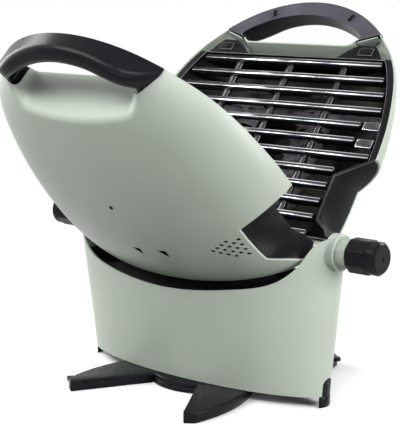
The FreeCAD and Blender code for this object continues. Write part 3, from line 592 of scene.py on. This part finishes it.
@dataclass
class Grate(SoftSolid):
    """Cooking grate whose bars have a painted highlight line along both upper edges; the radius is the
    line's width.
    """

    half: HalfFrame = field(kw_only=True)
    line_depth: float = 0.0065
    line_length: float = 0.004
    straight: float = 0.999

    def shape(self) -> bmesh.types.BMesh:
        """The welded grate with the bars' upper edges rounded in the painted highlight finish.

        Returns:
            The new mesh.
        """
        bm = self.welded()
        bm.normal_update()
        lines = [edge for edge in bm.edges if self.is_sharp(edge) and self.is_line(edge)]
        bmesh.ops.bevel(bm, geom=lines, offset=self.radius, offset_type="OFFSET", segments=self.segments,
                        profile=0.5, affect="EDGES", clamp_overlap=True, material=1)
        return bm

    def is_line(self, edge: bmesh.types.BMEdge) -> bool:
        """Whether an edge runs along a bar near the grate's upper face.

        Args:
            edge: the edge.

        Returns:
            Yes or no.
        """
        first, last = (vertex.co for vertex in edge.verts)
        depth = self.half.local((first + last) / 2).z
        along = abs((last - first).normalized().x)
        return along > self.straight and depth < self.line_depth and edge.calc_length() > self.line_length

    def round_edges(self, piece: bpy.types.Object) -> None:
        """Leave the other edges as they are: the lines are in the mesh already."""


@dataclass
class HandleFace:
    """Mating face of one half handle, which is lighter as a painted reflection, with snap sockets that are
    low rims round floors of painted shade.
    """

    half: HalfFrame
    depth: float = 0.0012
    squareness: float = 0.99
    arc: float = 0.1716
    bar: float = 0.020
    sockets: tuple[float, ...] = (-0.065, 0.054)
    socket_size: Span = (0.0050, 0.0105)
    socket_depth: float = 0.0006
    rim: float = 0.0016
    lift: float = 0.0004
    floor_lift: float = 0.00008

    @property
    def node(self) -> str:
        """Name of the half handle's solid."""
        return self.half.prefix + "_handle"

    def is_mating_face(self, middle: Vector, normal: Vector) -> bool:
        """Whether a face of the handle meets the other half's handle."""
        return self.half.local(middle).z < self.depth and normal.dot(self.half.out()) < -self.squareness

    def on_bar(self, across: float) -> Matrix:
        """Axes of a place on the middle of the handle's bar, with y along its radius.

        Args:
            across: the place's distance from the middle of the handle.

        Returns:
            The matrix that turns the place's own coordinates into the model's.
        """
        handle = frame["nodes"][self.node]
        top = max(self.half.local(handle.matrix_world @ vertex.co).y for vertex in handle.data.vertices)
        radius = self.arc - self.bar / 2
        turn = Matrix.Rotation(-math.asin(across / radius), 4, "Z")
        centre = Matrix.Translation((0.0, top - self.arc, self.socket_depth))
        return self.half.matrix() @ centre @ turn @ Matrix.Translation((0.0, radius, 0.0))

    def socket(self, index: int, across: float, finisher: Finisher) -> None:
        """Add one snap socket.

        Args:
            index: number of the socket on this half.
            across: its distance from the middle of the handle.
            finisher: gives the finishes.
        """
        place = self.on_bar(across)
        width, height = self.socket_size
        inner_width, inner_height = width - self.rim, height - self.rim
        rows = ((width, height, 0.0), (width, height, self.lift),
                (inner_width, inner_height, self.lift), (inner_width, inner_height, self.floor_lift))
        bm = bmesh.new()
        loops = []
        for wide, high, lift in rows:
            right, top = wide / 2, high / 2
            corners = ((-right, -top), (right, -top), (right, top), (-right, top))
            loops.append([bm.verts.new(place @ Vector((x, y, -lift))) for x, y in corners])
        skin(bm, loops)
        # The socket's floor is painted shade.
        bm.faces.new(loops[-1]).material_index = 1
        bm.faces.new(reversed(loops[0]))
        bmesh.ops.recalc_face_normals(bm, faces=bm.faces)
        materials = [finisher.material(Slot.PLASTIC), finisher.material(Detail.SOOT)]
        new_piece(f"{self.half.prefix}_socket_{index}", bm, self.node, materials)

    def build(self, finisher: Finisher) -> None:
        """Add the sockets to the handle.

        Args:
            finisher: gives the finishes.
        """
        for index, across in enumerate(self.sockets):
            self.socket(index, across, finisher)


@dataclass
class SeamWeb:
    """Green web under one end of a half handle, which closes the shell there."""

    half: HalfFrame
    end: End
    inner: Place = (0.0888, 0.2857, 0.0262)
    outer: Place = (0.1142, 0.2948, 0.0085)
    start: float = 0.0010
    drop: float = 0.0006
    sheet: float = 0.0014
    edge_round: float = 0.0004
    segments: int = 2

    def outline(self, drop: float) -> list[Vector]:
        """Corners of one face of the web.

        Args:
            drop: the face's distance below the handle.

        Returns:
            Four corners in the model's coordinates.
        """
        sign = 1.0 if self.end is End.RIGHT else -1.0
        (x0, y0, deep), (x1, y1, shallow) = self.inner, self.outer
        corners = ((x0, y0, self.start), (x1, y1, self.start), (x1, y1, shallow), (x0, y0, deep))
        return [self.half.matrix() @ Vector((sign * x, y - drop, z)) for x, y, z in corners]

    def build(self, finisher: Finisher) -> None:
        """Add the web to the shell.

        Args:
            finisher: gives the finish.
        """
        bm = bmesh.new()
        drops = (self.drop, self.drop + self.sheet)
        upper, lower = [[bm.verts.new(corner) for corner in self.outline(drop)] for drop in drops]
        skin(bm, (upper, lower))
        bm.faces.new(upper)
        bm.faces.new(reversed(lower))
        bmesh.ops.recalc_face_normals(bm, faces=bm.faces)
        bmesh.ops.bevel(bm, geom=bm.edges[:], offset=self.edge_round, segments=self.segments,
                        profile=0.5, affect="EDGES")
        node = self.half.prefix + "_shell"
        name = f"{self.half.prefix}_seam_web_{self.end.value}"
        new_piece(name, bm, node, [finisher.material(Slot.GREEN)])


@dataclass
class PeepRing:
    """Low black ring that lines the small slot in the middle of a dome."""

    half: HalfFrame
    slot_at: Span = (0.0, 0.152)
    probes: int = 8
    probe_circle: float = 0.006
    probe_start: float = 0.2
    radii: tuple[float, ...] = (0.0030, 0.0026, 0.0019, 0.0016)
    lifts: tuple[float, ...] = (-0.0004, 0.0003, 0.0003, -0.0008)
    sides: int = 28

    @property
    def node(self) -> str:
        """Name of the dome's solid."""
        return self.half.prefix + "_shell"

    def seat(self) -> tuple[Vector, Vector]:
        """Feel the dome round the slot, because the slot itself is open.

        Returns:
            The middle of the places that were felt, and the dome's direction out there.
        """
        shell = frame["nodes"][self.node]
        inverse = shell.matrix_world.inverted()
        inward = inverse.to_3x3() @ -self.half.out()
        middle, out = Vector(), Vector()
        for i in range(self.probes):
            turn = math.radians(360 * i / self.probes)
            start = Vector((self.slot_at[0] + self.probe_circle * math.cos(turn),
                            self.slot_at[1] + self.probe_circle * math.sin(turn), self.probe_start))
            _, place, normal, _ = shell.ray_cast(inverse @ (self.half.matrix() @ start), inward)
            middle += shell.matrix_world @ place
            out += shell.matrix_world.to_3x3() @ normal
        return middle / self.probes, out.normalized()

    def build(self, finisher: Finisher) -> None:
        """Add the ring to the dome.

        Args:
            finisher: gives the finish.
        """
        centre, out = self.seat()
        side = out.cross(Vector((1.0, 0.0, 0.0))).normalized()
        other = out.cross(side)
        turns = [2 * math.pi * i / self.sides for i in range(self.sides)]
        bm = bmesh.new()
        loops = []
        for radius, lift in zip(self.radii, self.lifts):
            middle = centre + out * lift
            spots = [middle + side * (radius * math.cos(turn)) + other * (radius * math.sin(turn))
                     for turn in turns]
            loops.append([bm.verts.new(spot) for spot in spots])
        skin(bm, loops + loops[:1])
        for face in bm.faces:
            face.smooth = True
        bmesh.ops.recalc_face_normals(bm, faces=bm.faces)
        materials = [finisher.material(Slot.BLACK_STEEL)]
        new_piece(self.half.prefix + "_peep_ring", bm, self.node, materials)


@dataclass
class GrillHalf:
    """One domed half: its grate, recess walls, vents and half handle."""

    half: HalfFrame
    highlight_line_width: float = 0.0008
    recess_round: float = 0.0006
    recess_fold: float = 18.0
    clip_round: float = 0.0005
    pan_round: float = 0.0004
    vent_band: Span = (0.060, 0.160)
    vent_half_width: float = 0.1385
    vent_depth: float = 0.030
    vent_slope: float = 0.12

    def soft_solids(self) -> list[SoftSolid]:
        """The half's solids that are copied with rounded edges, each with its edges' painted highlight
        finish.

        Returns:
            The copies, not built yet.
        """
        name = self.half.prefix
        # The recess rims get a painted highlight on their rounded edges.
        recesses = [SoftSolid(f"{name}_{end.value}_recess", self.recess_round, Detail.WORN_EDGE,
                              sharp=self.recess_fold) for end in (End.RIGHT, End.LEFT)]
        return [Grate(name + "_grate", self.highlight_line_width, Detail.BRIGHT_EDGE, half=self.half),
                *recesses,
                # The clips' rounded edges carry a painted highlight.
                SoftSolid(name + "_clips", self.clip_round, Detail.BRIGHT_EDGE),
                # The pan's rounded edges get a painted highlight.
                SoftSolid(name + "_pan", self.pan_round, Detail.SCUFFED_EDGE)]

    def is_vent_wall(self, middle: Vector, normal: Vector) -> bool:
        """Whether a face of the dome is a wall of an air vent.

        Args:
            middle: the face's middle.
            normal: its direction.

        Returns:
            Yes or no.
        """
        place = self.half.local(middle)
        low, high = self.vent_band
        inside = low < place.y < high and abs(place.x) < self.vent_half_width and place.z > self.vent_depth
        return inside and abs(normal.dot(self.half.out())) < self.vent_slope

    def build(self, finisher: Finisher) -> None:
        """Build and dress the half's own pieces.

        Args:
            finisher: gives the finishes.
        """
        for solid in self.soft_solids():
            solid.build(finisher)
        handle_face = HandleFace(self.half)
        name = self.half.prefix
        # The vent walls are painted shade, near black.
        finisher.dress_faces(name + "_shell", Detail.SOOT, self.is_vent_wall)
        # The mating faces are made lighter as a painted reflection.
        finisher.dress_faces(name + "_handle", Detail.MATING_FACE, handle_face.is_mating_face)
        finisher.dress_faces(name + "_tent", Detail.BURNT_STEEL, every_face)
        handle_face.build(finisher)
        for end in End:
            SeamWeb(self.half, end).build(finisher)
        PeepRing(self.half).build(finisher)


@dataclass
class ControlEnd:
    """One end of the hinge axis: the collar in front of which the knob turns, and the knob's spring."""

    end: End
    collar_round: float = 0.0005
    push: float = 0.0024

    def build(self, finisher: Finisher) -> None:
        """Build the end's softened collar and its spring."""
        SoftSolid(self.end.value + "_collar", self.collar_round).build(finisher)
        self.spring(finisher)

    def spring(self, finisher: Finisher) -> None:
        """Build the return spring as a copy of its solid.

        Args:
            finisher: gives the finish.
        """
        node = self.end.value + "_spring"
        shape = SoftSolid(node, 0.0).welded()
        spring = new_piece(node + "_soft", shape, node, [finisher.material(Slot.STEEL)])
        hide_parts(node)
        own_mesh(spring)


@dataclass
class StandingBase:
    """What the grill stands on: leg bars and bottom plate."""

    leg_round: float = 0.0012
    plate_round: float = 0.0006

    def build(self, finisher: Finisher) -> None:
        """Build the softened leg bars and plate.

        Args:
            finisher: gives the finish.
        """
        for name in ("upper_leg_bar", "lower_leg_bar"):
            SoftSolid(name, self.leg_round).build(finisher)
        SoftSolid("bottom_plate", self.plate_round).build(finisher)


@dataclass(frozen=True)
class PhotoCamera:
    """Camera at the photograph's angle; its focal length and centre are in the photograph's pixels."""

    place: Place = (0.9883, -1.2071, 0.4962)
    yaw: float = 40.31
    pitch: float = 10.78
    roll: float = -0.28
    focal_length: float = 1335.09
    image: tuple[int, int] = (400, 428)
    centre: Span = (183.4, 215.99)
    sensor: float = 36.0

    def build(self) -> None:
        """Add the camera and make it the scene's own."""
        data = bpy.data.cameras.new("camera")
        width, height = self.image
        data.sensor_fit = "HORIZONTAL"
        data.sensor_width = self.sensor
        data.lens = self.focal_length * self.sensor / width
        data.shift_x = (width / 2 - self.centre[0]) / width
        data.shift_y = (self.centre[1] - height / 2) / width
        camera = bpy.data.objects.new("camera", data)
        turn = Matrix.Rotation(math.radians(self.yaw), 4, "Z")
        tilt = Matrix.Rotation(math.radians(90 - self.pitch), 4, "X")
        bank = Matrix.Rotation(math.radians(self.roll), 4, "Z")
        camera.matrix_world = Matrix.Translation(self.place) @ turn @ tilt @ bank
        bpy.context.scene.collection.objects.link(camera)
        bpy.context.scene.camera = camera


@dataclass(frozen=True)
class SoftLamp:
    """Soft rectangular lamp: where it hangs, how large its lit face is, and its watts."""

    name: str
    place: Place
    size: Span
    power: float

    def build(self, target: Place) -> None:
        """Hang the lamp.

        Args:
            target: the point that it faces.
        """
        data = bpy.data.lights.new(self.name, "AREA")
        data.shape = "RECTANGLE"
        data.size, data.size_y = self.size
        data.energy = self.power
        lamp = bpy.data.objects.new(self.name, data)
        lamp.location = self.place
        lamp.rotation_euler = (Vector(target) - Vector(self.place)).to_track_quat("-Z", "Y").to_euler()
        bpy.context.scene.collection.objects.link(lamp)


def seen_directly(tree: bpy.types.NodeTree) -> bpy.types.NodeSocket:
    """One where the camera, a reflection or a look through glass meets a surface.

    Args:
        tree: the node tree that gets the nodes.

    Returns:
        The socket that holds the result.
    """
    path = tree.nodes.new("ShaderNodeLightPath")
    factor = path.outputs[SEEN_RAYS[0]]
    for name in SEEN_RAYS[1:]:
        node = tree.nodes.new("ShaderNodeMath")
        node.operation = "MAXIMUM"
        tree.links.new(factor, node.inputs[0])
        tree.links.new(path.outputs[name], node.inputs[1])
        factor = node.outputs[0]
    return factor


def mixed(tree: bpy.types.NodeTree, factor: bpy.types.NodeSocket, first: bpy.types.NodeSocket,
          second: bpy.types.NodeSocket) -> bpy.types.NodeSocket:
    """Two shaders mixed by a factor.

    Args:
        tree: the node tree that gets the node.
        factor: share of the second shader.
        first: the first shader.
        second: the second shader.

    Returns:
        The socket that holds the mixed shader.
    """
    mix = tree.nodes.new("ShaderNodeMixShader")
    for socket, source in zip(mix.inputs, (factor, first, second)):
        tree.links.new(source, socket)
    return mix.outputs[0]


@dataclass(frozen=True)
class StudioFloor:
    """White floor that keeps the shadow near the object and turns to plain white further out."""

    half_width: float = 12.0
    cells: int = 8
    tone: Colour = (0.90, 0.90, 0.90)
    lighter: Colour = (0.93, 0.93, 0.93)
    bounce: Colour = (0.08, 0.08, 0.08)
    rough: Span = (0.6, 0.75)
    gloss: float = 0.1
    cloud: Grain = Grain(3.0, 4.0)
    patches: Grain = Grain(40.0)
    shadow_reach: Span = (0.3, 0.6)

    def build(self) -> None:
        """Lay the floor."""
        mesh = bpy.data.meshes.new("floor")
        bm = bmesh.new()
        bmesh.ops.create_grid(bm, x_segments=self.cells, y_segments=self.cells, size=self.half_width)
        bm.to_mesh(mesh)
        bm.free()
        floor = bpy.data.objects.new("floor", mesh)
        bpy.context.scene.collection.objects.link(floor)
        mesh.materials.append(self.material())

    def material(self) -> bpy.types.Material:
        """Build the floor's material, which is dark to all light that only bounces off it.

        Returns:
            The new material.
        """
        nodes = NodeTree("studio_floor")
        tree = nodes.tree
        seen = seen_directly(tree)
        pale = nodes.between(nodes.noise(self.cloud), self.tone, self.lighter)
        tone = tree.nodes.new("ShaderNodeMix")
        tone.data_type = "RGBA"
        tone.inputs["A"].default_value = (*self.bounce, 1.0)
        tree.links.new(seen, tone.inputs["Factor"])
        tree.links.new(pale, tone.inputs["B"])
        nodes.wire(tone.outputs["Result"], "Base Color")
        nodes.wire(nodes.ranged(nodes.noise(self.patches), self.rough), "Roughness")
        nodes.constant("Specular IOR Level", self.gloss)
        far = tree.nodes.new("ShaderNodeMath")
        far.operation = "MULTIPLY"
        tree.links.new(seen, far.inputs[0])
        tree.links.new(self.fade(nodes), far.inputs[1])
        white = tree.nodes.new("ShaderNodeEmission")
        surface = mixed(tree, far.outputs[0], nodes.shader.outputs[0], white.outputs[0])
        tree.links.new(surface, tree.nodes["Material Output"].inputs["Surface"])
        return nodes.material

    def fade(self, nodes: NodeTree) -> bpy.types.NodeSocket:
        """Nought near the object and one beyond the reach of its shadow.

        Args:
            nodes: the floor's nodes.

        Returns:
            The socket that holds the value.
        """
        distance = nodes.tree.nodes.new("ShaderNodeVectorMath")
        distance.operation = "LENGTH"
        nodes.tree.links.new(nodes.place, distance.inputs[0])
        fade = nodes.tree.nodes.new("ShaderNodeMapRange")
        fade.interpolation_type = "SMOOTHSTEP"
        fade.inputs["From Min"].default_value, fade.inputs["From Max"].default_value = self.shadow_reach
        nodes.tree.links.new(distance.outputs["Value"], fade.inputs["Value"])
        return fade.outputs["Result"]


@dataclass(frozen=True)
class Studio:
    """Soft lamps round the grill, a pale floor and the light from all round."""

    middle: Place = (0.0, 0.0, 0.28)
    ambient: float = 0.12
    lamps: tuple[SoftLamp, ...] = (
        SoftLamp("left_softbox", (-1.5, -0.2, 0.8), (0.45, 1.4), 22.0),
        SoftLamp("right_softbox", (1.5, 0.1, 0.42), (0.5, 0.8), 21.0),
        SoftLamp("front_softbox", (-0.6, -1.5, 1.6), (1.3, 0.7), 32.0),
        SoftLamp("corner_softbox", (1.0, -1.4, 1.6), (0.9, 0.7), 22.0),
        SoftLamp("low_softbox", (0.5, -1.7, 0.3), (1.2, 0.4), 4.5),
        SoftLamp("back_softbox", (0.4, 1.7, 1.3), (1.3, 0.7), 24.0),
        SoftLamp("top_softbox", (0.0, 0.3, 1.8), (1.6, 1.2), 5.0),
    )

    @staticmethod
    def glow(tree: bpy.types.NodeTree, strength: float) -> bpy.types.NodeSocket:
        """White light of one strength.

        Args:
            tree: the world's node tree.
            strength: the light's strength.

        Returns:
            The socket that holds the light.
        """
        node = tree.nodes.new("ShaderNodeBackground")
        node.inputs["Color"].default_value = (*WHITE, 1.0)
        node.inputs["Strength"].default_value = strength
        return node.outputs[0]

    def world(self) -> None:
        """Grey light all round, seen as white by the camera and by reflections."""
        world = bpy.data.worlds.new("studio")
        world.use_nodes = True
        tree = world.node_tree
        tree.nodes.clear()
        light = mixed(tree, seen_directly(tree), self.glow(tree, self.ambient), self.glow(tree, 1.0))
        output = tree.nodes.new("ShaderNodeOutputWorld")
        tree.links.new(light, output.inputs["Surface"])
        bpy.context.scene.world = world

    def build(self) -> None:
        """Set up the whole studio."""
        bpy.context.scene.view_settings.view_transform = "Standard"
        PhotoCamera().build()
        for lamp in self.lamps:
            lamp.build(self.middle)
        StudioFloor().build()
        self.world()


HALVES = (HalfFrame("front", side=-1.0, lean=44.5), HalfFrame("rear", side=1.0, lean=39.8))


def main() -> None:
    """Build every sub-assembly in order."""
    logging.basicConfig(level=logging.INFO, format="%(name)s: %(message)s")
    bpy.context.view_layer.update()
    finisher = Finisher()
    finisher.dress_solids()
    for half in HALVES:
        GrillHalf(half).build(finisher)
    for end in End:
        ControlEnd(end).build(finisher)
    StandingBase().build(finisher)
    Studio().build()


if __name__ == "__main__":
    main()
